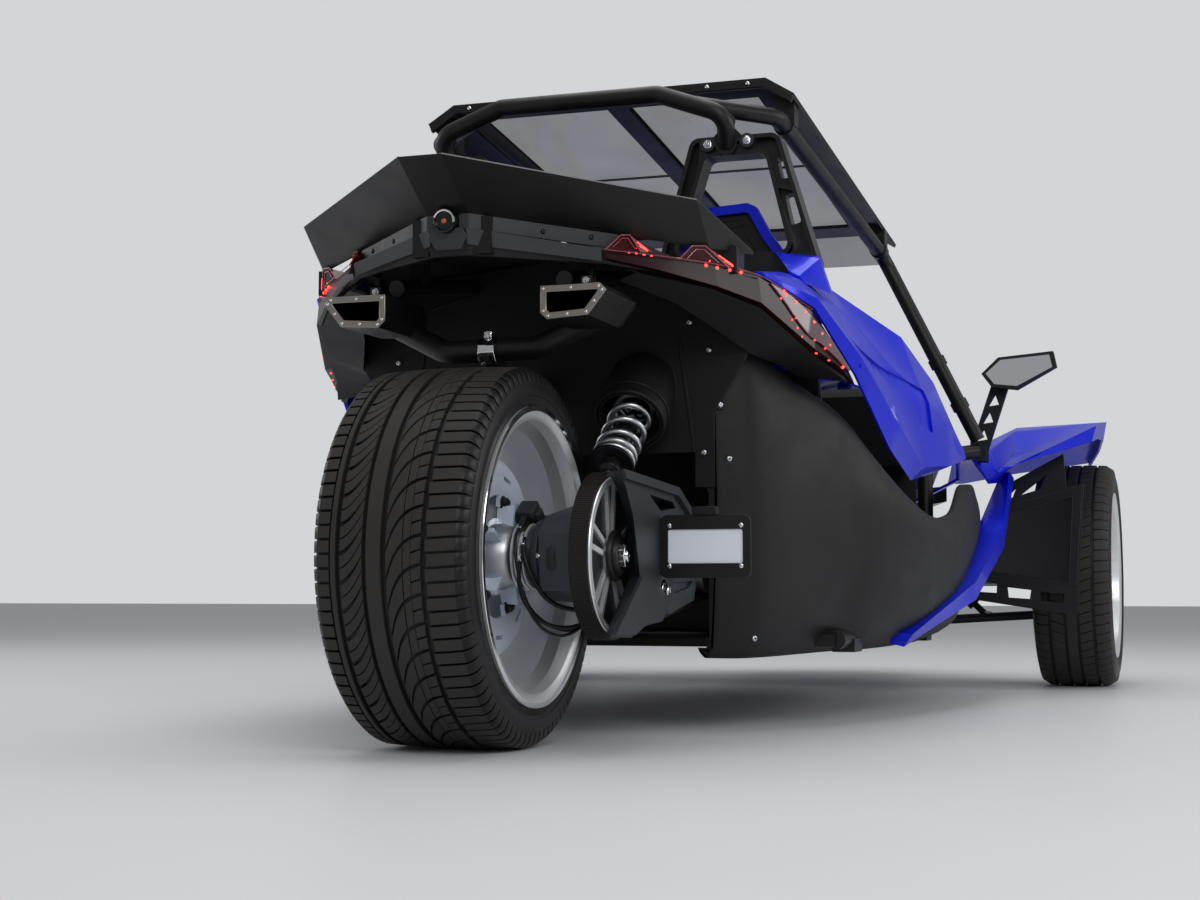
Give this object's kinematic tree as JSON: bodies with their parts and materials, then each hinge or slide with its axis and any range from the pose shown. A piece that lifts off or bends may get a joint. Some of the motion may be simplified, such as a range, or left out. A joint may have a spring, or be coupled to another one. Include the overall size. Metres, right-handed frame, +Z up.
{
  "type": "three wheeled open sports car",
  "caption": "Open side-by-side sports car with steered front wheels, belt-driven rear wheel on a single-sided swingarm, roll hoops and tinted roof.",
  "frame": {"origin": "on the ground under the middle of the car's length and width", "axes": "+X forward, +Y to the car's left, +Z up"},
  "size_m": [3.8, 1.98, 1.413],
  "materials": {
    "frame_black": "satin",
    "grained_plastic": "fine grain",
    "satin_black": "satin",
    "lamp_red": "gloss",
    "exhaust_steel": "brushed and black",
    "blue_paint": "metallic gloss",
    "lamp_clear": "gloss",
    "cast_black": "satin cast",
    "tinted_pane": "tinted",
    "seat_cover": "grained",
    "cast_alloy": "as cast",
    "belt_rubber": "ribbed",
    "shock_steel": "satin",
    "tyre_rubber": "matte",
    "wheel_silver": "machined"
  },
  "bodies": {
    "base": {"space_frame": "frame_black", "floor_tub": "grained_plastic", "side_pod_left": "grained_plastic", "side_pod_right": "grained_plastic", "rear_bulkhead": "grained_plastic", "tail_shell": "grained_plastic", "tail_spoiler": "satin_black", "tail_lamps": "lamp_red", "exhaust_tips": "exhaust_steel", "quarter_panel_left": "blue_paint", "quarter_panel_right": "blue_paint", "front_wing_left": "blue_paint", "front_wing_right": "blue_paint", "wheel_guards": "grained_plastic", "hood": "blue_paint", "nose_grille": "grained_plastic", "headlights": "lamp_clear", "roll_hoop_left": "cast_black", "roll_hoop_right": "cast_black", "roof_tubes": "satin_black", "roof_frame": "satin_black", "roof_panes": "tinted_pane", "seat_left": "seat_cover", "seat_right": "seat_cover", "dashboard": "grained_plastic", "mirror_left": "satin_black", "mirror_right": "satin_black", "drivetrain": "cast_alloy", "suspension_left": "satin_black", "suspension_right": "satin_black", "swingarm": "cast_black", "drive_belt": "belt_rubber", "belt_guard": "cast_black", "rear_shock": "shock_steel"},
    "steering_wheel": {"steering_wheel": "seat_cover"},
    "steering_rack": {"steering_rack": "cast_alloy"},
    "knuckle_left": {"knuckle_left": "cast_alloy"},
    "knuckle_right": {"knuckle_right": "cast_alloy"},
    "front_wheel_left": {"front_tyre_left": "tyre_rubber", "front_rim_left": "wheel_silver"},
    "front_wheel_right": {"front_tyre_right": "tyre_rubber", "front_rim_right": "wheel_silver"},
    "rear_wheel": {"rear_tyre": "tyre_rubber", "rear_rim": "wheel_silver", "belt_pulley": "wheel_silver"}
  },
  "joints": [
    {"name": "steer_left", "type": "hinge", "parent": "base", "child": "knuckle_left", "pos_m": [1.1125, 0.83, 0.33], "axis": [0, 0, 1], "range_deg": [-30, 30]},
    {"name": "steer_right", "type": "hinge", "parent": "base", "child": "knuckle_right", "pos_m": [1.1125, -0.83, 0.33], "axis": [0, 0, 1], "range_deg": [-30, 30]},
    {"name": "rack_slide", "type": "slide", "parent": "base", "child": "steering_rack", "axis": [0, 1, 0], "range_m": [-0.0602, 0.0602]},
    {"name": "steering_wheel_turn", "type": "hinge", "parent": "base", "child": "steering_wheel", "pos_m": [-0.0545, 0.3, 0.855], "axis": [-0.9135, 0, 0.4067], "range_deg": [-361, 361]},
    {"name": "front_wheel_left_spin", "type": "hinge", "parent": "knuckle_left", "child": "front_wheel_left", "pos_m": [1.1125, 0.8775, 0.33], "axis": [0, 1, 0], "continuous": true},
    {"name": "front_wheel_right_spin", "type": "hinge", "parent": "knuckle_right", "child": "front_wheel_right", "pos_m": [1.1125, -0.8775, 0.33], "axis": [0, 1, 0], "continuous": true},
    {"name": "rear_wheel_spin", "type": "hinge", "parent": "base", "child": "rear_wheel", "pos_m": [-1.5545, 0, 0.3455], "axis": [0, 1, 0], "continuous": true}
  ],
  "couplings": [
    {"joint": "steer_right", "follows": "steer_left", "ratio": 1},
    {"joint": "rack_slide", "follows": "steer_left", "m_per_rad": -0.11459},
    {"joint": "steering_wheel_turn", "follows": "steer_left", "ratio": 12}
  ]
}
